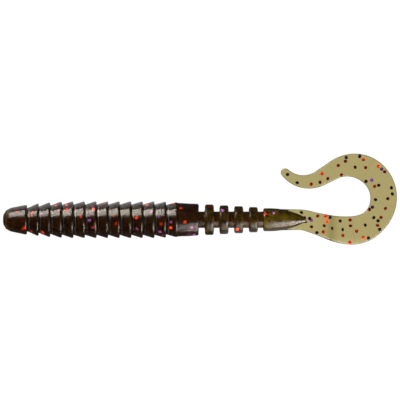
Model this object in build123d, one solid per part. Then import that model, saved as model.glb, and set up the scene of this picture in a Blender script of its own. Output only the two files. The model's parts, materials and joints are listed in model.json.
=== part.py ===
from build123d import *
import math
import os

# Ringed curl-tail soft plastic worm, 100 mm long as it lies curled on a table.
#
# The worm is one pour of soft vinyl, so nothing in it turns on a pin. It bends where the mould
# makes it thin: in the grooves between the rings, in the round stem between the neck's discs,
# and across the flat tail. Each stiff stretch between two such places is a piece of its own, and
# each thin place is a short web that meets the two pieces beside it face to face.
#
# Frame: +X runs from the nose to the tail, +Z is up from the table. The origin is the middle of
# the flat nose face, on the axis of the body. The body lies on its largest rings, and the tail
# droops from the axis to lie flat on the table.
#
# Distances along the tail are measured on its middle line, from the back of the neck.

# ---------------------------------------------------------------- driving sizes, millimetres

# Nose: a ball that runs out into a cone, cut off flat in front
NOSE_LENGTH = 6.05
NOSE_FACE_RADIUS = 1.0
NOSE_BALL_RADIUS = 3.15

# Rings: each is a short cone, narrow in front, with a sharp step down behind
RING_COUNT = 13
RING_PITCH = 2.94
RING_RADIUS = 4.64
GROOVE_DEPTH = 0.64
GROOVE_WIDTH = 0.5
NOSE_DROP = 0.88  # how much smaller the nose's own crest is than a full ring
FRONT_TAPER_RINGS = 4  # rings over which the crests grow to full size
BACK_DROP = 0.12  # how much each of the last rings is smaller than the one before
BACK_TAPER_RINGS = 2

# Barrel behind the rings
BARREL_LENGTH = 5.35
BARREL_FRONT_RADIUS = 4.26
BARREL_BACK_RADIUS = 4.0

# Neck: four discs on a round stem
DISC_COUNT = 4
DISC_RADIUS = 3.87
DISC_DROP = 0.22  # how much smaller each disc is than the one before
DISC_WIDTH = 2.4
RIM_CHAMFER = 0.35
STEM_RADIUS = 2.1
STEM_GAP = 1.32  # bare stem between two discs
BARREL_GAP = 1.5  # bare stem between the barrel and the first disc
ROOT_GAP = 1.3  # bare stem between the last disc and the tail root

# Tail root: a round plug that runs out into the flat tail as a pointed tongue
ROOT_RADIUS = 2.92
ROOT_STRAIGHT = 1.55
TONGUE_LENGTH = 10.4
TONGUE_CONES = 3
BLADE_START = 3.0  # where the flat tail begins, just under the skin of the tongue

# Flat tail: its middle line runs through these straights and arcs in turn
TAIL_THICKNESS = 1.0
STALK_STRAIGHT = 9.05
STALK_DIP_RADIUS = 8.0
STALK_SLOPE = 6.2
STALK_RISE_RADIUS = 19.0
STALK_TURN = 16  # degrees away from the body's axis, and back
CURL_RADIUS = 8.3
CURL_TURN = 210
HOOK_STRAIGHT = 4.2
HOOK_RADIUS = 7.3
HOOK_TURN = 77

# Half the tail's width at places along it
ROOT_HALF_WIDTH = 2.8
TONGUE_END_HALF_WIDTH = 2.65
CURL_START_HALF_WIDTH = 3.6
CURL_HALF_WIDTHS = (3.3, 3.4, 3.25)  # a quarter, half and three quarters of the way round
CURL_END_HALF_WIDTH = 2.4
HOOK_START_HALF_WIDTH = 2.08
HOOK_MIDDLE_HALF_WIDTH = 1.6
TIP_HALF_WIDTH = 1.1

# Webs across the tail: where each lies, and how long each is
WEB_LENGTH = 2.2
STALK_WEB_AFTER_TONGUE = 1.1
CURL_WEB_TURNS = (15, 90, 160)  # degrees of the curl's arc
EDGE_STATION_STEP = 4.5  # spacing of the places that guide the two edges
CUT_MARGIN = 1.0  # how far the square cuts across the tail reach past its edges

# ---------------------------------------------------------------- places worked out from them

TABLE_Z = -RING_RADIUS
FLAT_Z = TABLE_Z + TAIL_THICKNESS / 2
BARREL_X = NOSE_LENGTH + RING_COUNT * RING_PITCH
NECK_X = BARREL_X + BARREL_LENGTH
DISC_PITCH = DISC_WIDTH + STEM_GAP
FIRST_DISC_X = NECK_X + BARREL_GAP
LAST_DISC_END = FIRST_DISC_X + (DISC_COUNT - 1) * DISC_PITCH + DISC_WIDTH
ROOT_X = LAST_DISC_END + ROOT_GAP
TONGUE_X = ROOT_X + ROOT_STRAIGHT
TONGUE_END = TONGUE_X + TONGUE_LENGTH


def crest_radius(number):
    """Crest radius of a ring, counting the nose's own crest as ring 0."""
    to_full = max(FRONT_TAPER_RINGS - number, 0) / FRONT_TAPER_RINGS
    past_full = max(number - (RING_COUNT - BACK_TAPER_RINGS), 0)
    return RING_RADIUS - NOSE_DROP * to_full**2 - BACK_DROP * past_full


def crest_x(number):
    """Where a ring's crest steps down to the groove behind it."""
    return NOSE_LENGTH + number * RING_PITCH


def groove_radius(number):
    """Radius at the floor of the groove behind a ring."""
    return crest_radius(number) - GROOVE_DEPTH


def disc_radius(number):
    """Rim radius of a disc, counting from 0 behind the barrel."""
    return DISC_RADIUS - number * DISC_DROP


def disc_x(number):
    """Front face of a disc at the stem."""
    return FIRST_DISC_X + number * DISC_PITCH


# ---------------------------------------------------------------- round pieces


def turned(*corners):
    """A solid turned about the body's axis from the (x, radius) corners of its half section."""
    return revolve(make_face(Polyline(*corners, close=True)), Axis.X)


def nose():
    """The nose: a flat face, a ball and a cone tangent to it that ends in a sharp crest."""
    middle = math.sqrt(NOSE_BALL_RADIUS**2 - NOSE_FACE_RADIUS**2)
    across, up = NOSE_LENGTH - middle, crest_radius(0)
    lean = math.atan2(up, across) + math.acos(NOSE_BALL_RADIUS / math.hypot(across, up))
    face = math.pi - math.asin(NOSE_FACE_RADIUS / NOSE_BALL_RADIUS)
    ball = CenterArc((middle, 0), NOSE_BALL_RADIUS, math.degrees(lean), math.degrees(face - lean))
    cone = Polyline(ball @ 0, (NOSE_LENGTH, up), (NOSE_LENGTH, 0), (0, 0), ball @ 1)
    return revolve(make_face(ball + cone), Axis.X)


def ring(number):
    """One cone ring, which widens from the groove in front of it to its sharp crest."""
    front, back = crest_x(number - 1) + GROOVE_WIDTH, crest_x(number)
    groove, crest = groove_radius(number - 1), crest_radius(number)
    return turned((front, 0), (front, groove), (back, crest), (back, 0))


def barrel():
    """The smooth barrel that closes the ringed body, a little narrower at the back."""
    return turned(
        (BARREL_X, 0),
        (BARREL_X, BARREL_FRONT_RADIUS),
        (NECK_X - RIM_CHAMFER, BARREL_BACK_RADIUS),
        (NECK_X, BARREL_BACK_RADIUS - RIM_CHAMFER),
        (NECK_X, 0),
    )


def disc(number):
    """One neck disc, chamfered round both rims."""
    front, radius = disc_x(number), disc_radius(number)
    back, rim = front + DISC_WIDTH, radius - RIM_CHAMFER
    return turned(
        (front, 0),
        (front, rim),
        (front + RIM_CHAMFER, radius),
        (back - RIM_CHAMFER, radius),
        (back, rim),
        (back, 0),
    )


def web(x, length, radius):
    """A round web between two pieces, face to face with both."""
    return Plane.YZ.offset(x) * extrude(Circle(radius), length)


def tongue():
    """The plug at the tail's root and its pointed tongue, cones that lean in along an ogive."""
    ogive = TangentArc((TONGUE_X, ROOT_RADIUS), (TONGUE_END, 0), tangent=(1, 0))
    return turned(
        (ROOT_X, 0),
        (ROOT_X, ROOT_RADIUS - RIM_CHAMFER),
        (ROOT_X + RIM_CHAMFER, ROOT_RADIUS),
        *[ogive @ (i / TONGUE_CONES) for i in range(TONGUE_CONES)],
        (TONGUE_END, 0),
    )


# ---------------------------------------------------------------- flat tail


def middle_line():
    """The tail's middle line seen from above, from the back of the neck to the round tip."""
    parts = [Line((ROOT_X, 0), (ROOT_X + STALK_STRAIGHT, 0))]
    bends = [
        (STALK_DIP_RADIUS, -STALK_TURN, STALK_SLOPE),
        (STALK_RISE_RADIUS, STALK_TURN, 0),
        (CURL_RADIUS, CURL_TURN, HOOK_STRAIGHT),
        (HOOK_RADIUS, -HOOK_TURN, 0),
    ]
    for radius, turn, straight in bends:
        parts.append(JernArc(parts[-1] @ 1, parts[-1] % 1, radius, turn))
        if straight:
            start = parts[-1] @ 1
            parts.append(Line(start, start + (parts[-1] % 1) * straight))
    return Wire(parts)


def arc_length(radius, turn):
    """Length of an arc of so many degrees."""
    return radius * math.radians(turn)


MIDDLE = middle_line()
DIP_END = STALK_STRAIGHT + arc_length(STALK_DIP_RADIUS, STALK_TURN)
CURL_START = DIP_END + STALK_SLOPE + arc_length(STALK_RISE_RADIUS, STALK_TURN)
CURL_END = CURL_START + arc_length(CURL_RADIUS, CURL_TURN)
HOOK_START = CURL_END + HOOK_STRAIGHT
TIP_DISTANCE = HOOK_START + arc_length(HOOK_RADIUS, HOOK_TURN)


def width_stations():
    """The places along the middle line where the tail's half width is set, in order."""
    parts = len(CURL_HALF_WIDTHS) + 1
    round_curl = [CURL_START + (CURL_END - CURL_START) * i / parts for i in range(1, parts)]
    return [
        (0, ROOT_HALF_WIDTH),
        (TONGUE_END - ROOT_X, TONGUE_END_HALF_WIDTH),
        (CURL_START, CURL_START_HALF_WIDTH),
        *zip(round_curl, CURL_HALF_WIDTHS),
        (CURL_END, CURL_END_HALF_WIDTH),
        (HOOK_START, HOOK_START_HALF_WIDTH),
        ((HOOK_START + TIP_DISTANCE) / 2, HOOK_MIDDLE_HALF_WIDTH),
        (TIP_DISTANCE, TIP_HALF_WIDTH),
    ]


def half_width(distance):
    """Half the tail's width, eased through the set widths without a kink."""
    stops, widths = zip(*width_stations())
    last = len(stops) - 1
    i = max(k for k in range(last) if stops[k] <= distance)

    def slope(k):
        before, after = max(k - 1, 0), min(k + 1, last)
        return (widths[after] - widths[before]) / (stops[after] - stops[before])

    span = stops[i + 1] - stops[i]
    t = (distance - stops[i]) / span
    return (
        widths[i] * (2 * t**3 - 3 * t**2 + 1)
        + slope(i) * span * (t**3 - 2 * t**2 + t)
        + widths[i + 1] * (3 * t**2 - 2 * t**3)
        + slope(i + 1) * span * (t**3 - t**2)
    )


def beside(distance, sideways):
    """The point a given way to the left of the middle line."""
    point = MIDDLE.position_at(distance, position_mode=PositionMode.LENGTH)
    ahead = MIDDLE.tangent_at(distance, position_mode=PositionMode.LENGTH)
    return point + Vector(-ahead.Y, ahead.X) * sideways


def stations(start, end):
    """Evenly spaced distances from start to end."""
    count = max(math.ceil((end - start) / EDGE_STATION_STEP), 1)
    return [start + (end - start) * i / count for i in range(count + 1)]


def two_arcs(start, start_way, end, end_way):
    """Two arcs that run smoothly into each other, from a point and direction to another."""
    gap, ways = end - start, start_way + end_way
    bend = 2 * (1 - start_way.dot(end_way))
    along = gap.dot(ways)
    reach = gap.dot(gap) / (along + math.sqrt(along**2 + bend * gap.dot(gap)))
    meet = (start + start_way * reach + end - end_way * reach) / 2
    first = TangentArc(start, meet, tangent=start_way)
    return [first, TangentArc(meet, end, tangent=first % 1)]


def edge_way(distance, side):
    """The direction of the tail's left (1) or right (-1) edge."""
    back, ahead = max(distance - CUT_MARGIN, 0), min(distance + CUT_MARGIN, TIP_DISTANCE)
    chord = beside(ahead, side * half_width(ahead)) - beside(back, side * half_width(back))
    return chord.normalized()


def tail_edge(side):
    """The tail's left (1) or right (-1) edge: a straight beside the tongue, then smooth arcs."""
    along = stations(STALK_STRAIGHT, TIP_DISTANCE)
    points = [beside(d, side * half_width(d)) for d in along]
    ways = [edge_way(d, side) for d in along]
    edge = [Line(beside(0, side * half_width(0)), points[0])]
    for i in range(len(along) - 1):
        edge += two_arcs(points[i], ways[i], points[i + 1], ways[i + 1])
    return edge


def tail_outline():
    """The tail seen from above, closed by a round tip."""
    left, right = tail_edge(1), tail_edge(-1)
    tip = beside(TIP_DISTANCE, 0) + (MIDDLE % 1) * TIP_HALF_WIDTH
    cap = ThreePointArc(left[-1] @ 1, tip, right[-1] @ 1)
    return make_face([*left, cap, *right, Line(left[0] @ 0, right[0] @ 0)])


def drooping_sheet():
    """A wide sheet that leaves the axis level and comes down in two arcs to lie on the table."""
    droop_end = beside(CURL_START, 0).X
    level = Line((ROOT_X, 0), (TONGUE_END, 0))
    over = TangentArc(level @ 1, ((TONGUE_END + droop_end) / 2, FLAT_Z / 2), tangent=(1, 0))
    under = TangentArc(over @ 1, (droop_end, FLAT_Z), tangent=over % 1)
    flat = Line(under @ 1, (droop_end + CURL_RADIUS, FLAT_Z))
    side = trace(level + over + under + flat, TAIL_THICKNESS)
    return extrude(Plane.XZ * side, 4 * ROOT_RADIUS, both=True)


def slice_of(sheet, start, end):
    """The stretch of a sheet between two square cuts across the middle line."""
    along = stations(start, end)
    reach = [half_width(d) + CUT_MARGIN for d in along]
    left = [beside(d, r) for d, r in zip(along, reach)]
    right = [beside(d, -r) for d, r in zip(along, reach)]
    if end >= TIP_DISTANCE:
        past_tip = (MIDDLE % 1) * (half_width(TIP_DISTANCE) + CUT_MARGIN)
        left.append(left[-1] + past_tip)
        right.append(right[-1] + past_tip)
    cutter = make_face(Polyline(*left, *reversed(right), close=True))
    return sheet & extrude(cutter, 2 * RING_RADIUS, both=True)


def web_starts():
    """Distance along the middle line at which each web across the tail begins."""
    after_tongue = TONGUE_END - ROOT_X + STALK_WEB_AFTER_TONGUE - WEB_LENGTH / 2
    on_curl = [CURL_START + arc_length(CURL_RADIUS, turn) - WEB_LENGTH / 2 for turn in CURL_WEB_TURNS]
    on_hook = (CURL_END + HOOK_START - WEB_LENGTH) / 2
    return [after_tongue, *on_curl, on_hook]


def tail_pieces():
    """The root, the five stretches of the flat tail and the webs between them, by name."""
    plan = tail_outline()
    starts = web_starts()
    tall = extrude(plan, 2 * RING_RADIUS, both=True)
    drooping = tall & drooping_sheet()
    lying = Pos(0, 0, TABLE_Z) * extrude(plan, TAIL_THICKNESS)
    pieces = {"tail_root": tongue() + slice_of(drooping, BLADE_START, starts[0])}
    names = ("tail_stalk", "tail_shoulder", "tail_bend", "tail_crook", "tail_tip")
    ends = [*starts[1:], TIP_DISTANCE]
    for number, (name, start, end) in enumerate(zip(names, starts, ends), 1):
        sheet = drooping if number == 1 else lying
        pieces[f"tail_web_{number}"] = slice_of(sheet, start, start + WEB_LENGTH)
        pieces[name] = slice_of(sheet, start + WEB_LENGTH, end)
    return pieces


# ---------------------------------------------------------------- the whole worm


def worm_pieces():
    """Every piece of the worm, by its node's name, from the nose back."""
    pieces = {"nose": nose()}
    for number in range(1, RING_COUNT + 1):
        groove = groove_radius(number - 1)
        pieces[f"groove_web_{number:02d}"] = web(crest_x(number - 1), GROOVE_WIDTH, groove)
        pieces[f"ring_{number:02d}"] = ring(number)
    pieces["barrel"] = barrel()
    gap_start = NECK_X
    for number in range(DISC_COUNT):
        gap = disc_x(number) - gap_start
        pieces[f"stem_web_{number + 1}"] = web(gap_start, gap, STEM_RADIUS)
        pieces[f"disc_{number + 1}"] = disc(number)
        gap_start = disc_x(number) + DISC_WIDTH
    pieces[f"stem_web_{DISC_COUNT + 1}"] = web(gap_start, ROOT_GAP, STEM_RADIUS)
    pieces.update(tail_pieces())
    return pieces


if __name__ == "__main__":
    os.makedirs("parts", exist_ok=True)
    for name, piece in worm_pieces().items():
        piece.label = name
        export_step(piece, f"parts/{name}.step")
        print(f"{name}: {piece.volume:.1f} mm3")
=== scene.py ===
# %% [markdown]
# # A ringed curl-tail worm of soft vinyl
#
# The real lure is one pour of plastisol: liquid vinyl with glitter stirred in, poured hot into a
# mould, where it sets to a clear, rubbery brown jelly. Nothing on it is painted. It looks nearly
# black where it is thick and khaki where it is thin, because light loses colour on its way through.
# So this script makes the shapes, gives them one clear material that absorbs light by the
# millimetre, and hangs glitter flakes inside it.
#
# The CAD model gives every place and size. The pieces made here replace its plain solids one by
# one. The rings, barrel, discs and nose, with their cores and flakes, move with the body of the
# solid that they replace.

# %% Load the frame
import bmesh
import bpy
import json
import math
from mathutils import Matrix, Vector

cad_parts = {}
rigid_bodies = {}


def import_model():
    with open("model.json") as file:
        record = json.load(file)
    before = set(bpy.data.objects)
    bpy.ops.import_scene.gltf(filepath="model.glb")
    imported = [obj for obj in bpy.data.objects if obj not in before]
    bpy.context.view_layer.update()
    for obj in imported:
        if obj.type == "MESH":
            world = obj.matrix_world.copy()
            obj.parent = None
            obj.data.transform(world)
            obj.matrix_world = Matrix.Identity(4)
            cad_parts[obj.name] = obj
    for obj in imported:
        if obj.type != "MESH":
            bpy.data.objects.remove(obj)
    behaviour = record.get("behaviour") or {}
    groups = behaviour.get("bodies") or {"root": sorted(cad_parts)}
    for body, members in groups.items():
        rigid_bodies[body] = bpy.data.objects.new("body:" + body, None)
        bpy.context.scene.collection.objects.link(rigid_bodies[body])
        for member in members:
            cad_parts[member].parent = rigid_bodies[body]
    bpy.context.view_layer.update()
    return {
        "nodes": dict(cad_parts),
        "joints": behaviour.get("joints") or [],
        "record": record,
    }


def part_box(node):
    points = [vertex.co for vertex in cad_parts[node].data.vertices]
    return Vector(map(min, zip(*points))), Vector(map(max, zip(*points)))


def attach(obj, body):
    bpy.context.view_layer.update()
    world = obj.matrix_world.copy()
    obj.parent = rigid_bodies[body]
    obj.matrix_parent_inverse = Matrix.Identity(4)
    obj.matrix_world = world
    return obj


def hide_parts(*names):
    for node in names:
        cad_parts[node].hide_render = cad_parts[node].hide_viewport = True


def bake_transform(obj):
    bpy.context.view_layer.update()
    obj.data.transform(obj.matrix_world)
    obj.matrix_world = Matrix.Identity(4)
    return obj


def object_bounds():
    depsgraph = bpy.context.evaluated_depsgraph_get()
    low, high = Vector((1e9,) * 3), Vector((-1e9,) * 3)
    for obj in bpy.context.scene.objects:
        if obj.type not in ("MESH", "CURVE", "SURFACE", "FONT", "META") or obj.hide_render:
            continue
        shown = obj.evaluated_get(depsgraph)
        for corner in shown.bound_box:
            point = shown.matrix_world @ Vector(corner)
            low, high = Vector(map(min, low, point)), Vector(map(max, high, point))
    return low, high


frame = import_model()
MM = 0.001
body_of = {node: body for body, nodes in frame["record"]["behaviour"]["bodies"].items() for node in nodes}

# %% [markdown]
# ## Three small helpers
#
# Every material and every Geometry Nodes tree is a graph of nodes. One helper adds a node with its
# settings and its inputs. An input may be a number, one of another node's outputs, or another node,
# which stands for that node's first output. Colours are written as the sRGB hex codes that a paint
# program shows, and one function turns them into the linear light values that the renderer wants.
# The third starts a material.

# %% Helpers for nodes and colours
def add(tree, kind, settings=(), inputs=()):
    """Adds a node; settings are its properties, inputs are values, output sockets or nodes."""
    node = tree.nodes.new(kind)
    for name, value in dict(settings).items():
        setattr(node, name, value)
    for name, value in dict(inputs).items():
        if isinstance(value, bpy.types.Node):
            value = value.outputs[0]
        if isinstance(value, bpy.types.NodeSocket):
            tree.links.new(value, node.inputs[name])
        else:
            node.inputs[name].default_value = value
    return node


def linear(code):
    """Linear RGBA from an sRGB hex code."""
    shares = [int(code[i : i + 2], 16) / 255 for i in (1, 3, 5)]
    return (*[s / 12.92 if s <= 0.04045 else ((s + 0.055) / 1.055) ** 2.4 for s in shares], 1)


def new_material(name):
    """An empty node material, its tree and its output node."""
    material = bpy.data.materials.new(name)
    material.use_nodes = True
    material.node_tree.nodes.clear()
    return material, material.node_tree, add(material.node_tree, "ShaderNodeOutputMaterial")


print("a middle grey, #808080, in linear light:", round(linear("#808080")[0], 3))

# %% [markdown]
# ## Plastisol
#
# Plastisol is PVC softened with oil. Poured in a mould it comes out with a wet-looking skin, an
# index of refraction near 1.5, and a clear amber-brown body. A base colour would tint it the same
# everywhere. Absorption inside the volume is how the real colour comes about: what reaches the eye
# through one millimetre is khaki, through four it is olive, and through nine it is almost nothing.
# The transmitted share for each colour falls by the same factor with every millimetre, so one
# colour and one density describe it all.
#
# The skin isn't perfectly flat. It carries the fine marks of the tool that cut the mould, which run
# nearly round the body, and soft dents, so highlights break up into streaks. Both are bump. Where
# the skin turns steeply away, its tint is painted darker, as shade, which draws a thin dark outline
# round the flat tail.

# %% The vinyl material
BODY_THROUGH_ONE_MM = (0.30, 0.21, 0.05)  # share of red, green and blue light left after 1 mm
TAIL_THROUGH_ONE_MM = (0.45, 0.395, 0.18)
DENT_SIZE = 2.2 * MM
MARK_SIZE = 0.4 * MM
MARK_STRETCH = 5  # times longer than wide
MARK_LEAN = 22  # degrees from straight round the worm
MOST_ABSORBED = 1.05  # keeps each colour's share of the density below 1


def plastisol(name, through_one_mm, roughness, dent, mark, rim):
    """Clear brown vinyl; dent and mark are heights in mm, rim is the darker tint painted on its steep edges
    as shade.
    """
    material, tree, output = new_material(name)
    losses = [-math.log(share) / MM for share in through_one_mm]
    density = MOST_ABSORBED * max(losses)
    absorbing = add(tree, "ShaderNodeVolumeAbsorption", {}, {
        "Color": (*[1 - loss / density for loss in losses], 1),
        "Density": density,
    })
    place = add(tree, "ShaderNodeTexCoord")
    dents = add(tree, "ShaderNodeTexNoise", {}, {
        "Vector": place.outputs["Object"],
        "Scale": 1 / DENT_SIZE,
        "Detail": 1.0,
    })
    stretched = add(tree, "ShaderNodeMapping", {"vector_type": "TEXTURE"}, {
        "Vector": place.outputs["Object"],
        "Rotation": (0, 0, math.radians(-MARK_LEAN)),
        "Scale": (1, MARK_STRETCH, MARK_STRETCH),
    })
    marks = add(tree, "ShaderNodeTexNoise", {}, {
        "Vector": stretched.outputs["Vector"],
        "Scale": 1 / MARK_SIZE,
        "Detail": 2.0,
    })
    dented = add(tree, "ShaderNodeBump", {}, {
        "Height": dents.outputs["Fac"],
        "Distance": dent * MM,
        "Strength": 1.0,
    })
    marked = add(tree, "ShaderNodeBump", {}, {
        "Height": marks.outputs["Fac"],
        "Distance": mark * MM,
        "Strength": 1.0,
        "Normal": dented.outputs["Normal"],
    })
    # Painted shade: where the skin faces away, the tint turns to the rim colour.
    edge = add(tree, "ShaderNodeLayerWeight", {}, {"Blend": 0.5, "Normal": marked.outputs["Normal"]})
    painted_edge_shade = add(tree, "ShaderNodeValToRGB", {}, {"Fac": edge.outputs["Facing"]})
    stops = ((0.12, "#FCF9F0"), (0.5, rim))
    for element, (position, colour) in zip(painted_edge_shade.color_ramp.elements, stops):
        element.position, element.color = position, linear(colour)
    skin = add(tree, "ShaderNodeBsdfPrincipled", {}, {
        "Base Color": painted_edge_shade.outputs["Color"],
        "Roughness": roughness,
        "IOR": 1.5,
        "Transmission Weight": 1.0,
        "Normal": marked.outputs["Normal"],
    })
    tree.links.new(skin.outputs["BSDF"], output.inputs["Surface"])
    tree.links.new(absorbing.outputs["Volume"], output.inputs["Volume"])
    print(name, "density", round(density), "per metre")
    return material


# The thick body: nearly black, with soft streaky bands of light, and a little shade painted on its steep
# edges.
body_vinyl = plastisol(
    "vinyl_plastisol_body", BODY_THROUGH_ONE_MM, roughness=0.23, dent=0.07, mark=0.01, rim="#D8CDB8"
)
# The thin tail and its plug: khaki, smoother, and with shade painted dark at its edges.
tail_vinyl = plastisol(
    "vinyl_plastisol_tail", TAIL_THROUGH_ONE_MM, roughness=0.26, dent=0.018, mark=0.007, rim="#6E6638"
)

# %% [markdown]
# ## Deep vinyl
#
# Clear vinyl alone would turn black where it is thick. The real one is a little cloudy, with fine
# salt and trapped air, so its deep parts send a dim brown light back out. Scattering that light
# inside the volume is slow and noisy to render. A matt brown core, a skin's depth below the surface
# of each thick piece, sends it back instead, and the clear skin over it deepens its colour.

# %% The deep vinyl material
CLOUD_SIZE = 1.5 * MM


def cloudy(name, colour):
    """A matt inside for thick vinyl, with no shine, in patches of 0.6 to 1.3 times its colour."""
    material, tree, output = new_material(name)
    place = add(tree, "ShaderNodeTexCoord")
    clouds = add(tree, "ShaderNodeTexNoise", {}, {
        "Vector": place.outputs["Object"], "Scale": 1 / CLOUD_SIZE,
    })
    ramp = add(tree, "ShaderNodeMapRange", {}, {
        "Value": clouds.outputs["Fac"], "From Min": 0.35, "From Max": 0.65, "To Min": 0.6, "To Max": 1.3,
    })
    dimmed = add(tree, "ShaderNodeVectorMath", {"operation": "SCALE"}, {
        0: linear(colour)[:3], "Scale": ramp.outputs["Result"],
    })
    inside = add(tree, "ShaderNodeBsdfPrincipled", {}, {
        "Base Color": dimmed.outputs["Vector"],
        "Roughness": 0.9,
        "Specular IOR Level": 0.0,
    })
    tree.links.new(inside.outputs["BSDF"], output.inputs["Surface"])
    return material


# The core colours are lighter where the pieces are thin: painted light for the light that comes through
# thin vinyl, since the real vinyl is one pour.
deep_vinyl_shaded_by_thickness = {
    "body": cloudy("vinyl_plastisol_deep_body", "#483212"),
    "neck": cloudy("vinyl_plastisol_deep_neck", "#595020"),
    "stem": cloudy("vinyl_plastisol_deep_stem", "#845A1E"),
    "root": cloudy("vinyl_plastisol_deep_root", "#766B1C"),
}
print("deep vinyl for:", *deep_vinyl_shaded_by_thickness)

# %% [markdown]
# ## Glitter
#
# Lure glitter is aluminised polyester film, dyed and cut into hexagons, here 0.9 to 1 mm across and
# a few hundredths of a millimetre thick. A flake is a small mirror under a coloured lacquer: it
# flashes when it happens to face a lamp and looks dark when it does not, most of all against the
# light. So each of the three colours is a metal with a little roughness.

# %% Glitter materials
CURL_SIZE = 0.8 * MM
CURL_HEIGHT = 0.12 * MM


def glitter(name, colour, roughness):
    """Dyed aluminised film, a little curled."""
    material, tree, output = new_material(name)
    place = add(tree, "ShaderNodeTexCoord")
    curl = add(tree, "ShaderNodeTexNoise", {}, {
        "Vector": place.outputs["Object"], "Scale": 1 / CURL_SIZE,
    })
    curled = add(tree, "ShaderNodeBump", {}, {
        "Height": curl.outputs["Fac"], "Distance": CURL_HEIGHT, "Strength": 1.0,
    })
    film = add(tree, "ShaderNodeBsdfPrincipled", {}, {
        "Base Color": linear(colour),
        "Metallic": 1.0,
        "Roughness": roughness,
        "Normal": curled.outputs["Normal"],
    })
    tree.links.new(film.outputs["BSDF"], output.inputs["Surface"])
    return material


glitters = {
    "Red": glitter("glitter_film_red", "#FF4014", 0.24),
    "Violet": glitter("glitter_film_violet", "#A860FF", 0.24),
    "Dark": glitter("glitter_film_blue_black", "#2A1C5A", 0.3),
}
print("glitter colours:", *glitters)

# %% [markdown]
# ## Running a Geometry Nodes tree
#
# The rings, discs, webs and glitter all repeat, so Geometry Nodes make them. A tree is a recipe
# with named inputs. This helper runs a recipe once on a throwaway object, sets its inputs by their
# sockets' identifiers, and keeps the result as a plain mesh.

# %% Helpers for Geometry Nodes
def new_tree(name, inputs):
    """A Geometry Nodes tree with a geometry input and output, and the named inputs besides."""
    tree = bpy.data.node_groups.new(name, "GeometryNodeTree")
    tree.interface.new_socket("Geometry", in_out="INPUT", socket_type="NodeSocketGeometry")
    for label, kind in inputs.items():
        tree.interface.new_socket(label, in_out="INPUT", socket_type=f"NodeSocket{kind}")
    tree.interface.new_socket("Geometry", in_out="OUTPUT", socket_type="NodeSocketGeometry")
    return tree, add(tree, "NodeGroupInput"), add(tree, "NodeGroupOutput")


def put_in_scene(name, mesh):
    """A new object with this mesh, at the origin."""
    thing = bpy.data.objects.new(name, mesh)
    bpy.context.scene.collection.objects.link(thing)
    return thing


def plain(name, made):
    """The evaluated result of an object's modifiers as a plain mesh object; the old one goes."""
    bpy.context.view_layer.update()
    evaluated = made.evaluated_get(bpy.context.evaluated_depsgraph_get())
    mesh = bpy.data.meshes.new_from_object(evaluated)
    mesh.name = name
    bpy.data.objects.remove(made)
    return put_in_scene(name, mesh)


def grow(name, tree, values, base=None):
    """Runs a tree, on a base mesh if one is given, and keeps what it makes as a plain mesh."""
    host = put_in_scene(name + ".host", base or bpy.data.meshes.new(name + ".host"))
    modifier = host.modifiers.new("made", "NODES")
    modifier.node_group = tree
    for item in tree.interface.items_tree:
        if item.in_out == "INPUT" and item.name in values:
            modifier[item.identifier] = values[item.name]
    return plain(name, host)


print("geometry trees so far:", len(bpy.data.node_groups))

# %% [markdown]
# ## A turned rib
#
# A ring, a disc, the barrel and the thin web between two of them are the same kind of shape: a
# half section with two outer corners, turned about the body's axis. The recipe draws that half
# section as an open line of four points, rounds the two outer corners, and sweeps it round a
# circle. The rounding is what catches the light as a fine line behind each ring, so it matters more
# than its size suggests. The circle has a small radius of its own, which the half section takes
# back off, because a path of no size has no direction to sweep along.

# %% The turned rib's recipe
HUB = 1 * MM
ROWS = 6  # stretches between two corners of the half section
RIB_FACETS = 144
WALL_DENT_SIZE = 3.5 * MM
SHARP_ANGLE = math.radians(40)
rib_tree, given, made = new_tree("turned_rib", {
    "Front": "Float", "Back": "Float", "Front Radius": "Float", "Back Radius": "Float",
    "Front Round": "Float", "Back Round": "Float", "Lean": "Float", "Dent": "Float",
    "Facets": "Int", "Seed": "Float", "Material": "Material",
})
size = given.outputs
front_rim = add(rib_tree, "ShaderNodeMath", {"operation": "ADD"}, {0: size["Front"], 1: size["Lean"]})
back_rim = add(rib_tree, "ShaderNodeMath", {"operation": "SUBTRACT"}, {0: size["Back"], 1: size["Lean"]})
front_out = add(rib_tree, "ShaderNodeMath", {"operation": "SUBTRACT"}, {0: size["Front Radius"], 1: HUB})
back_out = add(rib_tree, "ShaderNodeMath", {"operation": "SUBTRACT"}, {0: size["Back Radius"], 1: HUB})
corners = [(-HUB, size["Front"]), (front_out, front_rim), (back_out, back_rim), (-HUB, size["Back"])]
section = add(rib_tree, "GeometryNodeCurvePrimitiveQuadrilateral", {"mode": "POINTS"}, {
    f"Point {number}": add(rib_tree, "ShaderNodeCombineXYZ", {}, {"X": out, "Y": along})
    for number, (out, along) in enumerate(corners, 1)
})
opened = add(rib_tree, "GeometryNodeSetSplineCyclic", {}, {
    "Geometry": section.outputs["Curve"], "Cyclic": False,
})
divided = add(rib_tree, "GeometryNodeSubdivideCurve", {}, {
    "Curve": opened.outputs["Geometry"], "Cuts": ROWS - 1,
})
index = add(rib_tree, "GeometryNodeInputIndex").outputs["Index"]
rounding = 0.0
for corner, wanted in ((ROWS, size["Front Round"]), (2 * ROWS, size["Back Round"])):
    here = add(rib_tree, "FunctionNodeCompare", {"data_type": "INT", "operation": "EQUAL"}, {
        2: index, 3: corner,
    })
    share = add(rib_tree, "ShaderNodeMath", {"operation": "MULTIPLY"}, {0: here, 1: wanted})
    rounding = add(rib_tree, "ShaderNodeMath", {"operation": "ADD"}, {0: share, 1: rounding})
rounded = add(rib_tree, "GeometryNodeFilletCurve", {"mode": "POLY"}, {
    "Curve": divided.outputs["Curve"], "Count": 6, "Radius": rounding, "Limit Radius": True,
})
path = add(rib_tree, "GeometryNodeCurvePrimitiveCircle", {}, {"Resolution": size["Facets"], "Radius": HUB})
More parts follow.
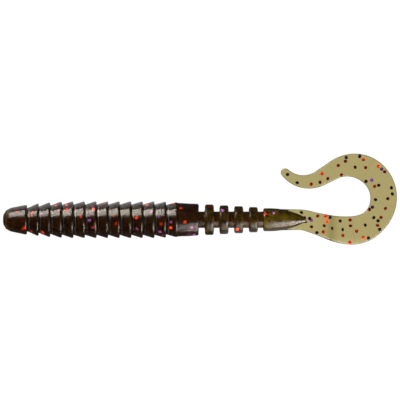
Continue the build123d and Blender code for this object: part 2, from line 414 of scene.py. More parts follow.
swept = add(rib_tree, "GeometryNodeCurveToMesh", {}, {
    "Curve": path.outputs["Curve"], "Profile Curve": rounded.outputs["Curve"],
})
turned = add(rib_tree, "GeometryNodeTransform", {}, {
    "Geometry": swept.outputs["Mesh"], "Rotation": (0.0, -math.pi / 2, 0.0),
})
closed = add(rib_tree, "GeometryNodeMergeByDistance", {}, {
    "Geometry": turned.outputs["Geometry"], "Distance": 1e-6,
})
position = add(rib_tree, "GeometryNodeInputPosition").outputs["Position"]
noise = add(rib_tree, "ShaderNodeTexNoise", {"noise_dimensions": "4D"}, {
    "Vector": position, "W": size["Seed"], "Scale": 1 / WALL_DENT_SIZE, "Detail": 1.0,
})
swing = add(rib_tree, "ShaderNodeMath", {"operation": "SUBTRACT"}, {0: noise.outputs["Fac"], 1: 0.5})
height = add(rib_tree, "ShaderNodeMath", {"operation": "MULTIPLY"}, {0: swing, 1: size["Dent"]})
outward = add(rib_tree, "ShaderNodeVectorMath", {"operation": "SCALE"}, {
    0: add(rib_tree, "GeometryNodeInputNormal").outputs["Normal"], "Scale": height,
})
dented = add(rib_tree, "GeometryNodeSetPosition", {}, {
    "Geometry": closed.outputs["Geometry"], "Offset": outward.outputs["Vector"],
})
real = add(rib_tree, "GeometryNodeRealizeInstances", {}, {"Geometry": dented.outputs["Geometry"]})
finished = add(rib_tree, "GeometryNodeSetMaterial", {}, {
    "Geometry": real.outputs["Geometry"], "Material": size["Material"],
})
rib_tree.links.new(finished.outputs["Geometry"], made.inputs["Geometry"])


def turned_rib(name, values):
    """One turned piece, smooth but for its sharp edges, with its faces outwards."""
    piece = grow(name, rib_tree, {"Facets": RIB_FACETS, "Material": body_vinyl, **values})
    tidy = bmesh.new()
    tidy.from_mesh(piece.data)
    bmesh.ops.recalc_face_normals(tidy, faces=tidy.faces)
    tidy.to_mesh(piece.data)
    tidy.free()
    piece.data.shade_smooth()
    piece.data.set_sharp_from_angle(angle=SHARP_ANGLE)
    return piece


print("turned rib recipe:", len(rib_tree.nodes), "nodes")

# %% [markdown]
# ## The rings
#
# Thirteen rings make the body. Each is a short cone that widens backwards and ends in a sharp step,
# like stacked paper cups, so the worm pushes water and holds scent oil in its grooves. The recipe
# runs once for each, with sizes taken from the ring's own CAD solid. The crest is drawn a little
# larger than the solid, because rounding it takes that much off again.

# %% Make the rings
CREST_ROUND = 0.36 * MM
CREST_LOSS = 0.32  # share of the rounding that a crest loses in height
WALL_DENT = 0.07 * MM
CORE_DEPTH = 0.45 * MM  # the skin's depth over a core
CORE_END = 0.06 * MM
CORE_ROUND = 0.1 * MM
CORE_FACETS = 48


def span(node):
    """Where a round node starts and ends along the body, and its largest radius."""
    low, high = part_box(node)
    return low.x, high.x, high.z


def take_place(piece, node):
    """The piece rides with the CAD node's body in its stead, and the CAD node is hidden."""
    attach(piece, body_of[node])
    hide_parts(node)


def deep_core(node, front, back, front_radius, back_radius, part="body"):
    """The cloudy inside of a round piece, a skin's depth below its surface."""
    core = turned_rib(f"core_{node}", {
        "Front": front + CORE_END, "Back": back - CORE_END, "Front Radius": front_radius - CORE_DEPTH,
        "Back Radius": back_radius - CORE_DEPTH, "Front Round": CORE_ROUND, "Back Round": CORE_ROUND,
        "Facets": CORE_FACETS, "Material": deep_vinyl_shaded_by_thickness[part],
    })
    return core


ring_names = sorted(node for node in frame["nodes"] if node.startswith("ring_"))
for number, node in enumerate(ring_names, 1):
    front, back, crest = span(node)
    groove = span(f"groove_web_{number:02d}")[2]
    ring = turned_rib(f"vinyl_{node}", {
        "Front": front, "Back": back,
        "Front Radius": groove, "Back Radius": crest + CREST_LOSS * CREST_ROUND,
        "Back Round": CREST_ROUND, "Dent": WALL_DENT, "Seed": 3.1 * number,
    })
    take_place(ring, node)
    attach(deep_core(node, front, back, groove, crest), body_of[node])
print("rings:", len(ring_names), "vertices each:", len(ring.data.vertices))

# %% [markdown]
# ## Barrel, discs and the webs between
#
# Behind the rings comes a plain barrel, where the mould closes on the neck, and four loose discs on
# a thin stem, which let the tail swing. The same recipe makes them, with both rims rounded and the
# flanks leaning in a little, as a mould needs to let them go. A web is the bare stem between two
# solid pieces. It reaches a little way into both.

# %% Make the barrel, discs and webs
BARREL_BACK_RADIUS = 4.0 * MM
RIM_ROUND = 0.45 * MM
RIM_LEAN = 0.42 * MM
WEB_REACH = 0.25 * MM
WEB_UNDER = 0.02 * MM
ring_front, ring_back, ring_crest = span("ring_08")
RING_SLOPE = (ring_crest - span("groove_web_08")[2]) / (ring_back - ring_front)

front, back, radius = span("barrel")
barrel = turned_rib("vinyl_barrel", {
    "Front": front, "Back": back, "Front Radius": radius, "Back Radius": BARREL_BACK_RADIUS,
    "Back Round": RIM_ROUND, "Dent": 2.5 * WALL_DENT, "Seed": 50.0,
})
take_place(barrel, "barrel")
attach(deep_core("barrel", front, back, radius, BARREL_BACK_RADIUS), body_of["barrel"])

disc_names = sorted(node for node in frame["nodes"] if node.startswith("disc_"))
for number, node in enumerate(disc_names, 1):
    front, back, radius = span(node)
    disc = turned_rib(f"vinyl_{node}", {
        "Front": front - WEB_REACH, "Back": back + WEB_REACH, "Front Radius": radius, "Back Radius": radius,
        "Front Round": RIM_ROUND, "Back Round": RIM_ROUND, "Lean": RIM_LEAN,
        "Dent": WALL_DENT, "Seed": 60.0 + number,
    })
    take_place(disc, node)
    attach(deep_core(node, front, back, radius, radius, "neck"), body_of[node])

webs = {joint["deforming_nodes"][0]["node"]: joint for joint in frame["joints"]}
round_webs = [node for node in webs if not node.startswith("tail_")]
for node in round_webs:
    front, back, radius = span(node)
    slope = RING_SLOPE if node.startswith("groove_") else 0
    web = turned_rib(f"vinyl_{node}", {
        "Front": front - WEB_REACH, "Front Radius": radius - WEB_UNDER - slope * (back - front + WEB_REACH),
        "Back": back + WEB_REACH, "Back Radius": radius - WEB_UNDER + slope * WEB_REACH,
    })
    joint = webs[node]
    for piece in (web, deep_core(node, front, back, radius, radius, "body" if slope else "stem")):
        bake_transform(piece)
    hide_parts(node)
print("discs:", len(disc_names), "round webs:", len(round_webs))

# %% [markdown]
# ## Nose and tongue
#
# Two pieces are turned as well, but on a smooth section: the bullet nose, and the tongue in which
# the round body runs out into the flat tail. Here the half section is a list of points worked out
# by a formula, and a short function turns it into a closed skin, with one point on the axis at each
# end so that the poles are shut.

# %% A lathe for smooth sections
def lathe(section):
    """A closed mesh turned about the X axis from (x, radius) points that start and end on the axis."""
    skin = bmesh.new()
    start = skin.verts.new((section[0][0], 0, 0))
    end = skin.verts.new((section[-1][0], 0, 0))
    loops = []
    for x, radius in section[1:-1]:
        turns = [math.tau * i / RIB_FACETS for i in range(RIB_FACETS)]
        loops.append([skin.verts.new((x, radius * math.cos(a), radius * math.sin(a))) for a in turns])
    for i in range(RIB_FACETS):
        j = (i + 1) % RIB_FACETS
        skin.faces.new((start, loops[0][i], loops[0][j]))
        skin.faces.new((end, loops[-1][j], loops[-1][i]))
        for near, far in zip(loops, loops[1:]):
            skin.faces.new((near[i], far[i], far[j], near[j]))
    return skin


def finish_mesh(name, skin, material):
    """A mesh from bmesh, faces outwards, smooth but for its sharp edges."""
    bmesh.ops.recalc_face_normals(skin, faces=skin.faces)
    mesh = bpy.data.meshes.new(name)
    skin.to_mesh(mesh)
    skin.free()
    mesh.materials.append(material)
    mesh.shade_smooth()
    mesh.set_sharp_from_angle(angle=SHARP_ANGLE)
    return put_in_scene(name, mesh)


def arc(centre, radius, start, end, steps=8):
    """Points on an arc between two angles in degrees."""
    angles = [math.radians(start + (end - start) * i / steps) for i in range(steps + 1)]
    return [(centre[0] + radius * math.cos(a), centre[1] + radius * math.sin(a)) for a in angles]


# %% Make the nose
NOSE_FACE_RADIUS = 1.0 * MM
NOSE_BALL_RADIUS = 3.15 * MM
NOSE_FACE_ROUND = 0.45 * MM
NOSE_CORE_START = 0.6 * MM
NOSE_CORE_RADIUS = 0.9 * NOSE_BALL_RADIUS

nose_length, nose_crest = span("nose")[1:]
ball_x = math.sqrt(NOSE_BALL_RADIUS**2 - NOSE_FACE_RADIUS**2)
across, up = nose_length - ball_x, nose_crest
lean = math.degrees(math.atan2(up, across) + math.acos(NOSE_BALL_RADIUS / math.hypot(across, up)))
face_angle = 180 - math.degrees(math.asin((NOSE_FACE_RADIUS + 0.5 * NOSE_FACE_ROUND) / NOSE_BALL_RADIUS))
ball = arc((ball_x, 0), NOSE_BALL_RADIUS, face_angle, lean, 16)
crest_centre = (nose_length - CREST_ROUND, nose_crest - CREST_ROUND)
crest = arc(crest_centre, CREST_ROUND, lean, 0)
flat_rim = NOSE_FACE_RADIUS - 0.5 * NOSE_FACE_ROUND
(flank_x, flank_radius), (flank_end_x, flank_end_radius) = ball[-1], crest[0]
flank = [
    (flank_x + (flank_end_x - flank_x) * i / 6, flank_radius + (flank_end_radius - flank_radius) * i / 6)
    for i in range(1, 6)
]
nose_section = [
    (0, 0),
    *[(0, flat_rim * i / 3) for i in (1, 2, 3)],
    *ball,
    *flank,
    *crest,
    *[(nose_length, crest[-1][1] * i / 6) for i in (5, 4, 3, 2, 1)],
    (nose_length, 0),
]
nose = finish_mesh("vinyl_nose", lathe(nose_section), body_vinyl)
take_place(nose, "nose")
nose_core = deep_core("nose", NOSE_CORE_START, nose_length, NOSE_CORE_RADIUS, nose_crest)
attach(nose_core, body_of["nose"])
print("nose: ball tangent at", round(lean, 1), "degrees, vertices", len(nose.data.vertices))

# %% Make the tongue's skin
ROOT_STRAIGHT = 1.55 * MM
TONGUE_LENGTH = 10.4 * MM
TONGUE_POINT = 1.6 * MM  # the clear end of the tongue, which holds no core

root_x, _, root_radius = span("tail_root")
tongue_x = root_x + ROOT_STRAIGHT
tongue_end = tongue_x + TONGUE_LENGTH


def tongue_section(start, radius, end):
    """(x, radius) points of a plug from start that runs out to a point at end, along an arc."""
    length = end - tongue_x
    ogive_radius = (length**2 + radius**2) / (2 * radius)
    turn = math.degrees(math.asin(length / ogive_radius))
    ogive = arc((tongue_x, radius - ogive_radius), ogive_radius, 90, 90 - turn, 40)
    rim = arc((start + RIM_ROUND, radius - RIM_ROUND), RIM_ROUND, 180, 90)
    face = [(start, rim[0][1] * i / 5) for i in range(5)]
    return [*face, *rim, *ogive[:-1], (end, 0)]


tongue = finish_mesh("vinyl_tongue", lathe(tongue_section(root_x, root_radius, tongue_end)), tail_vinyl)
core_section = tongue_section(root_x + CORE_END, root_radius - CORE_DEPTH, tongue_end - TONGUE_POINT)
root_core = finish_mesh("core_tail_root", lathe(core_section), deep_vinyl_shaded_by_thickness["root"])
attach(root_core, body_of["tail_root"])
print("tongue from", round(root_x / MM, 2), "to", round(tongue_end / MM, 2), "mm")

# %% [markdown]
# ## The flat tail
#
# Seen from above, the tail's middle line is a chain of straights and arcs: a stalk with a slight
# dip, a curl of more than half a turn, and a hook that turns back the other way. Such a line needs
# no points, only how long each run is and how tightly it turns. Two functions follow it: one gives
# the place and heading at any distance, one the half width there.
#
# Seen from the side, the tail leaves the body at its axis and droops in two equal arcs until it
# lies on the table.

# %% The tail's middle line
TAIL_RUNS = [  # length in mm, then how far it turns to the left, in degrees
    (9.05, 0),
    (math.radians(16) * 8.0, -16),
    (6.2, 0),
    (math.radians(16) * 19.0, 16),
    (math.radians(210) * 8.3, 210),
    (4.2, 0),
    (math.radians(77) * 7.3, -77),
]
ends = [sum(length for length, _ in TAIL_RUNS[: i + 1]) * MM for i in range(len(TAIL_RUNS))]
CURL_START, CURL_END, HOOK_START, TIP = ends[3:]


def line_at(distance):
    """Place and heading of the middle line at a distance from the back of the neck."""
    x, y, heading = root_x, 0.0, 0.0
    for i, (length, turn) in enumerate(TAIL_RUNS):
        length *= MM
        step = distance if i == len(TAIL_RUNS) - 1 else min(distance, length)
        bend = math.radians(turn) * step / length
        chord = step * (math.sin(bend / 2) / (bend / 2) if bend else 1)
        x += chord * math.cos(heading + bend / 2)
        y += chord * math.sin(heading + bend / 2)
        heading += bend
        distance -= step
        if distance <= 0:
            break
    return Vector((x, y)), heading


print("curl from", round(CURL_START / MM, 2), "to", round(CURL_END / MM, 2), "mm")
print("tip at", round(TIP / MM, 2), "mm, heading", round(math.degrees(line_at(TIP)[1])), "degrees")

# %% The tail's width
HALF_WIDTHS = [  # distance along the line, half width in mm
    (0, 2.8),
    (tongue_end - root_x, 2.65),
    (CURL_START, 3.6),
    (CURL_START + (CURL_END - CURL_START) / 4, 3.3),
    (CURL_START + (CURL_END - CURL_START) / 2, 3.4),
    (CURL_START + (CURL_END - CURL_START) * 3 / 4, 3.25),
    (CURL_END, 2.4),
    (HOOK_START, 2.08),
    ((HOOK_START + TIP) / 2, 1.6),
    (TIP, 1.1),
]


def half_width(distance):
    """Half the tail's width, eased between the set widths, and round at the tip."""
    if distance > TIP:
        return math.sqrt(max((HALF_WIDTHS[-1][1] * MM) ** 2 - (distance - TIP) ** 2, 0))
    stops, widths = zip(*HALF_WIDTHS)
    last = len(stops) - 1
    i = max(k for k in range(last) if stops[k] <= distance)

    def slope(k):
        before, after = max(k - 1, 0), min(k + 1, last)
        return (widths[after] - widths[before]) / (stops[after] - stops[before])

    gap = stops[i + 1] - stops[i]
    t = (distance - stops[i]) / gap
    return MM * (
        widths[i] * (2 * t**3 - 3 * t**2 + 1)
        + slope(i) * gap * (t**3 - 2 * t**2 + t)
        + widths[i + 1] * (3 * t**2 - 2 * t**3)
        + slope(i + 1) * gap * (t**3 - t**2)
    )


widest = max(width for _, width in HALF_WIDTHS) * 2
print("widest", widest, "mm, at the hook's start", round(half_width(HOOK_START) * 2 / MM, 2), "mm")

# %% The tail's droop
TAIL_THICKNESS = 1.0 * MM
flat_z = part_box("tail_shoulder")[0].z + TAIL_THICKNESS / 2
droop_end = line_at(CURL_START)[0].x
droop_run = droop_end - tongue_end
droop_radius = (droop_run**2 / 4 + flat_z**2 / 4) / abs(flat_z)


def droop(x):
    """Height of the tail's middle surface, and its slope as an angle, at a place along the body."""
    x = min(max(x, tongue_end), droop_end)
    past = min(x - tongue_end, droop_end - x)
    lean = math.asin(past / droop_radius)
    fall = droop_radius * (1 - math.cos(lean))
    return (-fall if x < (tongue_end + droop_end) / 2 else flat_z + fall), -lean


def on_tail(distance, sideways, upwards):
    """A point of the tail from its place along the line, across it and through its thickness."""
    place, heading = line_at(distance)
    x = place.x - sideways * math.sin(heading)
    y = place.y + sideways * math.cos(heading)
    z, lean = droop(x) if distance < CURL_START else (flat_z, 0)
    return (x - upwards * math.sin(lean), y, z + upwards * math.cos(lean))


print("droop radius", round(droop_radius / MM, 2), "mm")

# %% [markdown]
# ## Tail pieces
#
# The tail is one sheet on the real worm. Here it is cut just before each bending place but the
# first, so that every piece crosses just one of them. The cuts lie face to face, square to the
# sheet. The section is a flat bar with rounded edges: the mould fills from both halves, and the edge
# comes out round. A darker tint painted on the steep edges, as shade, draws a thin dark line round
# the whole tail.

# %% A stretch of the flat tail
EDGE_ROUND = 0.3 * MM
THINNING = 0.6 * MM  # half width below which the tip gets thinner
STATION = 0.5 * MM  # between two loops of points along the tail


def bar_section(width):
    """(sideways, upwards) points round a flat bar with rounded edges."""
    depth = min(EDGE_ROUND, 0.8 * width)
    thick = TAIL_THICKNESS / 2 * min(1, (width / THINNING) ** 0.5)
    right = [math.radians(-90 + 180 * i / 12) for i in range(13)]
    points = [(width - depth + depth * math.cos(a), thick * math.sin(a)) for a in right]
    flat = [(width - depth) * (1 - 2 * i / 6) for i in range(1, 6)]
    points += [(u, thick) for u in flat]
    points += [(-u, -v) for u, v in points[:13]]
    return points + [(-u, -thick) for u in flat]


def blade(start, end):
    """A closed stretch of the flat tail between two distances."""
    skin = bmesh.new()
    count = max(round((end - start) / STATION), 2)
    stops = [start + (end - start) * i / count for i in range(count + 1)]
    if end >= TIP:
        reach = HALF_WIDTHS[-1][1] * MM
        stops += [TIP + reach * math.sin(math.radians(a)) for a in range(6, 90, 6)]
    loops = []
    for stop in stops:
        loops.append([skin.verts.new(on_tail(stop, u, v)) for u, v in bar_section(half_width(stop))])
    around = len(loops[0])
    for near, far in zip(loops, loops[1:]):
        for i in range(around):
            j = (i + 1) % around
            skin.faces.new((near[i], near[j], far[j], far[i]))
    skin.faces.new(loops[0])
    skin.faces.new(loops[-1])
    return skin


print("points round the tail's section:", len(bar_section(half_width(CURL_START))))

# %% Cut the tail at its bending places
BLADE_START = 3.0 * MM  # inside the tongue
WEB_HALF = 1.1 * MM  # half the length of a bending place
CLEAR = 0.5 * MM


def web_distance(joint):
    """How far along the middle line a joint of the tail lies, to 0.1 mm."""
    here = Vector(joint["pos_m"][:2])
    stops = [i * 0.1 * MM for i in range(round(TIP / MM * 10))]
    return min(stops, key=lambda stop: (line_at(stop)[0] - here).length)


tail_joints = [joint for joint in frame["joints"] if joint["name"].startswith("tail_")]
web_middles = [web_distance(joint) for joint in tail_joints]
cuts = [BLADE_START, *[middle - WEB_HALF - CLEAR for middle in web_middles[1:]], TIP]
print("bending places at", *[round(middle / MM, 1) for middle in web_middles], "mm")

# %% Make the tail pieces
tail_pieces = []
for number, joint in enumerate(tail_joints):
    name = "vinyl_" + joint["child"]
    piece = finish_mesh(name, blade(cuts[number], cuts[number + 1]), tail_vinyl)
    if number == 0:
        union = piece.modifiers.new("with tongue", "BOOLEAN")
        union.operation, union.solver, union.object = "UNION", "EXACT", tongue
        piece = plain(name, piece)
        piece.data.set_sharp_from_angle(angle=SHARP_ANGLE)
        bpy.data.objects.remove(tongue)
    tail_pieces.append(piece)
    from_to = [round(cut / MM, 1) for cut in cuts[number : number + 2]]
    print(name, "from and to", from_to, "mm, vertices:", len(piece.data.vertices))

# %% Bake the tail pieces in place
def web_ends(middle):
    """The points where a web across the tail starts and ends."""
    return [on_tail(middle + side * WEB_HALF, 0, 0) for side in (-1, 1)]


for piece, joint, middle in zip(tail_pieces, tail_joints, web_middles):
    start, end = web_ends(middle)
    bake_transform(piece)
    nodes = [joint["deforming_nodes"][0]["node"], joint["child"]]
    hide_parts(*nodes, *(["tail_root"] if joint["parent"] == "tail_root" else []))
print("tail pieces that bend:", len(tail_pieces))

# %% [markdown]
# ## Glitter flakes
#
# The flakes are scattered through the vinyl and settle at every tilt. They follow a surface and
# repeat by the hundred, so Geometry Nodes make them. The recipe takes a bed, a plain surface that
# lies where flakes may be, scatters points on it for each colour, moves each point to a depth below
# the bed, and puts a six-sided flake there, tilted at random. A flake must not stick out of the
# vinyl, so the bed is kept clear of edges.

# %% The flakes' recipe
FLAKE_SIDES = 6
SEED_STEP = 1000  # between one colour's seeds and the next's
flake_tree, given, made = new_tree("glitter_flakes", {
    "Red": "Float", "Violet": "Float", "Dark": "Float",
    "Least Depth": "Float", "Most Depth": "Float", "Tilt": "Float",
    "Across": "Float", "Thick": "Float", "Seed": "Int",
})
size = given.outputs
join = add(flake_tree, "GeometryNodeJoinGeometry")
for offset, (colour, film) in enumerate(glitters.items()):
    seed = add(flake_tree, "FunctionNodeIntegerMath", {"operation": "ADD"}, {
        0: size["Seed"], 1: SEED_STEP * offset,
    })
    scattered = add(flake_tree, "GeometryNodeDistributePointsOnFaces", {}, {
        "Mesh": size["Geometry"], "Density": size[colour], "Seed": seed,
    })
    depth = add(flake_tree, "FunctionNodeRandomValue", {"data_type": "FLOAT"}, {
        2: size["Least Depth"], 3: size["Most Depth"], "Seed": seed,
    }).outputs[1]
    inwards = add(flake_tree, "ShaderNodeMath", {"operation": "MULTIPLY"}, {0: depth, 1: -1.0})
    sunk = add(flake_tree, "ShaderNodeVectorMath", {"operation": "SCALE"}, {
        0: scattered.outputs["Normal"], "Scale": inwards,
    })
    placed = add(flake_tree, "GeometryNodeSetPosition", {}, {
        "Geometry": scattered.outputs["Points"], "Offset": sunk.outputs["Vector"],
    })
    tip_back = add(flake_tree, "ShaderNodeMath", {"operation": "MULTIPLY"}, {0: size["Tilt"], 1: -1.0})
    least = add(flake_tree, "ShaderNodeCombineXYZ", {}, {"X": tip_back, "Y": tip_back})
    most = add(flake_tree, "ShaderNodeCombineXYZ", {}, {
        "X": size["Tilt"], "Y": size["Tilt"], "Z": math.tau,
    })
    tilt = add(flake_tree, "FunctionNodeRandomValue", {"data_type": "FLOAT_VECTOR"}, {
        0: least, 1: most, "Seed": seed,
    })
    turned_by = add(flake_tree, "FunctionNodeEulerToRotation", {}, {"Euler": tilt})
    facing = add(flake_tree, "FunctionNodeRotateRotation", {"rotation_space": "LOCAL"}, {
        "Rotation": scattered.outputs["Rotation"], "Rotate By": turned_by.outputs["Rotation"],
    })
    half_across = add(flake_tree, "ShaderNodeMath", {"operation": "MULTIPLY"}, {0: size["Across"], 1: 0.5})
    flake = add(flake_tree, "GeometryNodeMeshCylinder", {}, {
        "Vertices": FLAKE_SIDES, "Radius": half_across, "Depth": size["Thick"],
    })
    put = add(flake_tree, "GeometryNodeInstanceOnPoints", {}, {
        "Points": placed.outputs["Geometry"], "Instance": flake.outputs["Mesh"],
        "Rotation": facing.outputs["Rotation"],
    })
    real = add(flake_tree, "GeometryNodeRealizeInstances", {}, {"Geometry": put.outputs["Instances"]})
    dyed = add(flake_tree, "GeometryNodeSetMaterial", {}, {"Geometry": real, "Material": film})
    flake_tree.links.new(dyed.outputs["Geometry"], join.inputs["Geometry"])
flake_tree.links.new(join.outputs["Geometry"], made.inputs["Geometry"])
print("flake recipe:", len(flake_tree.nodes), "nodes")

# %% [markdown]
# ## Flakes in the tail
#
# The thin tail shows every flake through the sheet, so its bed is the sheet's middle surface, and
# the flakes lie close to either side of it. Light comes through from behind them, so most look dark
# and only some glow red or violet. Each colour has its own number per square centimetre. Chance
# also bunches flakes, so each piece has a fixed seed that leaves them well apart.

# %% Scatter flakes in the tail
FLAKE_THICK = 0.05 * MM
TAIL_FLAKE_ACROSS = 1.0 * MM
PER_CM2 = 1e4
TAIL_FLAKES = {"Red": 14 * PER_CM2, "Violet": 3.5 * PER_CM2, "Dark": 6.5 * PER_CM2}
TAIL_DEPTH = 0.12 * MM  # to either side of the middle surface
TAIL_TILT = math.radians(32)
TAIL_SEEDS = (41, 7, 15, 7, 1)
EDGE_KEEP = 0.5 * MM
TONGUE_CLEAR = 9 * MM  # the tail holds no flakes of its own before this distance


def blade_bed(start, end):
    """The tail's middle surface, clear of its edges."""
    skin = bmesh.new()
    count = round((end - start) / STATION)
    rows = []
    for i in range(count + 1):
        stop = start + (end - start) * i / count
        reach = half_width(stop) - EDGE_KEEP
        rows.append([skin.verts.new(on_tail(stop, reach * u / 4, 0)) for u in range(-4, 5)])
    for near, far in zip(rows, rows[1:]):
        for i in range(8):
            skin.faces.new((near[i], far[i], far[i + 1], near[i + 1]))
    mesh = bpy.data.meshes.new("bed")
    skin.to_mesh(mesh)
    skin.free()
    return mesh


flake_count = 0
for number, (joint, middle) in enumerate(zip(tail_joints, web_middles)):
    start = max(cuts[number], TONGUE_CLEAR) + EDGE_KEEP
    flakes = grow(f"glitter_{joint['child']}", flake_tree, {
        **TAIL_FLAKES,
        "Least Depth": -TAIL_DEPTH, "Most Depth": TAIL_DEPTH, "Tilt": TAIL_TILT,
        "Across": TAIL_FLAKE_ACROSS, "Thick": FLAKE_THICK, "Seed": TAIL_SEEDS[number],
    }, blade_bed(start, cuts[number + 1] - EDGE_KEEP))
    start, end = web_ends(middle)
    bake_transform(flakes)
    flake_count += len(flakes.data.vertices) // (2 * FLAKE_SIDES)
print("flakes in the tail:", flake_count)

# %% [markdown]
# ## Flakes in the body
#
# The thick body hides all but the flakes just under its skin, so here the bed is each piece's outer
# wall, and the flakes lie in the clear skin between that wall and the cloudy core. They tilt less,
# because they settle along the wall, and more of them flash.

# %% A bed for the flakes of a round piece
BED_FACETS = 36


def rib_bed(front, back, front_radius, back_radius):
    """The outer wall of a round piece as an open sleeve."""
    skin = bmesh.new()
    rows = []
    for x, radius in ((front, front_radius), (back, back_radius)):
        turns = [math.tau * i / BED_FACETS for i in range(BED_FACETS)]
        rows.append([skin.verts.new((x, radius * math.cos(a), radius * math.sin(a))) for a in turns])
    for i in range(BED_FACETS):
        j = (i + 1) % BED_FACETS
        skin.faces.new((rows[0][j], rows[1][j], rows[1][i], rows[0][i]))
    mesh = bpy.data.meshes.new("bed")
    skin.to_mesh(mesh)
    skin.free()
    return mesh


NOSE_BED_START, NOSE_BED_RADIUS = 2.0 * MM, 2.7 * MM
TONGUE_BED_LENGTH = 8 * MM
TONGUE_BED_TAPER = 0.75
beds = {
    "nose": (NOSE_BED_START, nose_length, NOSE_BED_RADIUS, nose_crest),
    "barrel": (*span("barrel"), BARREL_BACK_RADIUS),
}
for number, node in enumerate(ring_names, 1):
    front, back, crest = span(node)
    beds[node] = (front, back, span(f"groove_web_{number:02d}")[2], crest)
for node in disc_names:
    front, back, radius = span(node)
    beds[node] = (front, back, radius, radius)
beds["tail_root"] = (root_x, root_x + TONGUE_BED_LENGTH, root_radius, TONGUE_BED_TAPER * root_radius)
print("beds:", len(beds))

# %% Scatter flakes in the body
BODY_FLAKE_ACROSS = 0.9 * MM
BODY_FLAKES = {"Red": 11 * PER_CM2, "Violet": 9 * PER_CM2, "Dark": 1.5 * PER_CM2}
BODY_DEPTHS = (0.16 * MM, 0.42 * MM)
BODY_TILT = math.radians(24)
BODY_SEED = 140
DISC_KEEP, RIB_KEEP = 0.8 * MM, 0.55 * MM  # how far the beds stay clear of the pieces' ends
flake_count = 0
for number, (node, (front, back, front_radius, back_radius)) in enumerate(beds.items()):
    keep = DISC_KEEP if node.startswith("disc_") else RIB_KEEP
    slope = (back_radius - front_radius) / (back - front)
    bed = rib_bed(front + keep, back - keep, front_radius + slope * keep, back_radius - slope * keep)
    flakes = grow(f"glitter_{node}", flake_tree, {
        **BODY_FLAKES,
        "Least Depth": BODY_DEPTHS[0], "Most Depth": BODY_DEPTHS[1], "Tilt": BODY_TILT,
        "Across": BODY_FLAKE_ACROSS, "Thick": FLAKE_THICK, "Seed": BODY_SEED + number,
    }, bed)
    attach(flakes, body_of[node])
    flake_count += len(flakes.data.vertices) // (2 * FLAKE_SIDES)
print("flakes in the body:", flake_count)

# %% [markdown]
# ## Camera
#
# The worm is seen from straight above through a long lens, so nothing in it looks nearer than the
# rest. The camera stands over the middle of the object and takes in its whole length with a hair
# to spare.

# %% Set the camera
LENS = 400
FRAME_WIDTH = 101.5 * MM
AIM_SHIFT = Vector((-0.10, -0.22, 0)) * MM  # from the middle of the object
low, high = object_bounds()
middle = (low + high) / 2 + AIM_SHIFT
lens = bpy.data.cameras.new("long_lens")
lens.lens = LENS
lens.clip_start, lens.clip_end = 0.01, 10
camera = bpy.data.objects.new("camera", lens)
bpy.context.scene.collection.objects.link(camera)
camera.location = (middle.x, middle.y, FRAME_WIDTH * LENS / lens.sensor_width)
bpy.context.scene.camera = camera
print("camera over", [round(v / MM, 1) for v in camera.location], "mm")

# %% [markdown]
# ## Table and surroundings
#
# The background is a white table with no edge in sight. White comes from what the table and the
# sky show to the camera, and through the clear vinyl, not from more light. The table still takes a
# faint shadow.
#
# In a shiny surface the table is nearly black but for two soft-edged places. They stand for two
# white cards. One lies beside the rings on the far side and lights their steep far flanks. The
# other, half as bright, lies on the near side from the second disc on and does the same for the
# near flanks of discs and tongue.

# %% Make the table
FLOOR_HALF = 3.0  # metres
FLOOR_GAP = 0.02 * MM
floor_z = low.z - FLOOR_GAP
floor_mesh = bpy.data.meshes.new("table")
floor_corners = [(x * FLOOR_HALF, y * FLOOR_HALF, floor_z) for x, y in ((-1, -1), (1, -1), (1, 1), (-1, 1))]
floor_mesh.from_pydata(floor_corners, [], [(0, 1, 2, 3)])
table = put_in_scene("table", floor_mesh)
print("table at", round(floor_z / MM, 2), "mm")

# %% The table's material
material, tree, output = new_material("white_table")
SHADOW_SHARE = 0.06
TABLE_SEEN = 1.03  # a little over white, to make up for the share that takes the shadow
TABLE_MIRRORED = 0.03
# For each card its brightness, and for each edge the axis across it and where, in mm, it fades in.
CARDS = [
    (1.0, [("X", 43, 39), ("Y", 4, 8), ("Y", 55, 45)]),
    (0.5, [("X", 52, 58), ("Y", -4, -8), ("Y", -55, -45)]),
]
rays = add(tree, "ShaderNodeLightPath")
place = add(tree, "ShaderNodeTexCoord")
split = add(tree, "ShaderNodeSeparateXYZ", {}, {"Vector": place.outputs["Object"]})
mirrored = TABLE_MIRRORED
for card, edges in CARDS:
    for axis, none, full in edges:
        edge = add(tree, "ShaderNodeMapRange", {"interpolation_type": "SMOOTHSTEP"}, {
            "Value": split.outputs[axis], "From Min": none * MM, "From Max": full * MM,
        })
        card = add(tree, "ShaderNodeMath", {"operation": "MULTIPLY"}, {0: edge, 1: card})
    mirrored = add(tree, "ShaderNodeMath", {"operation": "ADD"}, {0: card, 1: mirrored})
seen = add(tree, "ShaderNodeMath", {"operation": "ADD"}, {
    0: rays.outputs["Is Camera Ray"], 1: rays.outputs["Is Transmission Ray"],
})
bright = add(tree, "ShaderNodeMath", {"operation": "MULTIPLY"}, {0: seen, 1: TABLE_SEEN})
gloss = add(tree, "ShaderNodeMath", {"operation": "MULTIPLY"}, {
    0: rays.outputs["Is Glossy Ray"], 1: mirrored,
})
shown = add(tree, "ShaderNodeMath", {"operation": "ADD"}, {0: bright, 1: gloss})
matt = add(tree, "ShaderNodeBsdfDiffuse", {}, {"Color": linear("#F2F2F2")})
glow = add(tree, "ShaderNodeEmission", {}, {"Color": (1, 1, 1, 1), "Strength": shown})
surface = add(tree, "ShaderNodeMixShader", {}, {0: SHADOW_SHARE, 1: glow, 2: matt})
tree.links.new(surface.outputs[0], output.inputs["Surface"])
floor_mesh.materials.append(material)
print("table material:", len(tree.nodes), "nodes")

# %% Set the surroundings
world = bpy.data.worlds.new("studio")
bpy.context.scene.world = world
world.use_nodes = True
tree = world.node_tree
tree.nodes.clear()
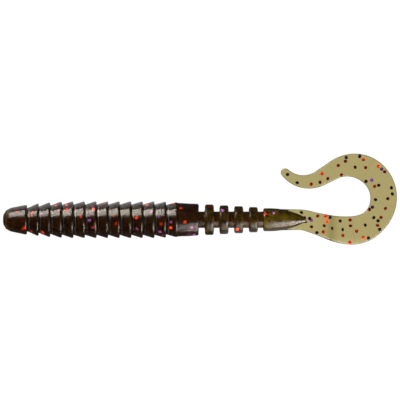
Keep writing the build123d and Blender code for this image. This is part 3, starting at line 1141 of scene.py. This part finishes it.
# White to the eye and through the clear vinyl, and only a dim fill for matt and shiny surfaces.
SKY_ON_MATT = 0.05
SKY_EVERYWHERE = 0.025
rays = add(tree, "ShaderNodeLightPath")
seen = add(tree, "ShaderNodeMath", {"operation": "ADD"}, {
    0: rays.outputs["Is Camera Ray"], 1: rays.outputs["Is Transmission Ray"],
})
fill = add(tree, "ShaderNodeMath", {"operation": "MULTIPLY"}, {
    0: rays.outputs["Is Diffuse Ray"], 1: SKY_ON_MATT,
})
dim = add(tree, "ShaderNodeMath", {"operation": "ADD"}, {0: fill, 1: SKY_EVERYWHERE})
strength = add(tree, "ShaderNodeMath", {"operation": "ADD"}, {0: seen, 1: dim})
sky = add(tree, "ShaderNodeBackground", {}, {"Color": (1, 1, 1, 1), "Strength": strength})
add(tree, "ShaderNodeOutputWorld", {}, {"Surface": sky})
print("surroundings on matt surfaces:", round(SKY_ON_MATT + SKY_EVERYWHERE, 3))

# %% [markdown]
# ## Lamps
#
# Two large soft lamps make the look, each hung as neighbouring panels of different strength. One
# stands beyond the nose on the far side, in a low and a high panel, and draws a broad band along
# the cones of the rings, which tip towards the nose. The other runs along the near side, in three
# panels. Barrel, discs and tongue lie level or tip slightly backwards, and they show the first two
# along their near side. The rings catch the last one, beyond the tail, only on their round crests,
# as fine lines.

# %% Hang the lamps
def softbox(name, ends, upper, lower, radiance, colour):
    """A soft lamp along X between two ends, across between two (y, z) edges; all sizes in mm."""
    across = (Vector(lower) - Vector(upper)) * MM
    data = bpy.data.lights.new(name, "AREA")
    data.shape, data.size, data.size_y = "RECTANGLE", (ends[1] - ends[0]) * MM, across.length
    data.color = linear(colour)[:3]
    data.energy = radiance * math.pi * data.size * data.size_y
    lamp = bpy.data.objects.new(name, data)
    lamp.location = Vector((sum(ends), upper[0] + lower[0], upper[1] + lower[1])) * MM / 2
    facing = Vector((0, -lamp.location.y, -lamp.location.z))
    lamp.rotation_euler = (math.atan2(facing.y, -facing.z), 0, 0)
    bpy.context.scene.collection.objects.link(lamp)
    print(name, round(data.energy, 2), "watts")


softbox("band_lamp_low", (-330, -40), (230, 190), (300, 50), 9.5, "#FFF4E6")
softbox("band_lamp_high", (-330, -40), (165, 260), (230, 190), 8.0, "#FFF4E6")
softbox("disc_lamp", (56, 84), (-140, 215), (-260, 5), 3.4, "#FFF6F0")
softbox("tongue_lamp", (84, 210), (-115, 240), (-260, 5), 6.5, "#FFF6F0")
softbox("crest_lamp", (210, 420), (-115, 240), (-260, 5), 11.0, "#FFF6F0")

# %% [markdown]
# ## Finish
#
# The Standard view shows a colour as it is written, with no film look over it.

# %% Finish
scene = bpy.context.scene
scene.view_settings.view_transform = "Standard"
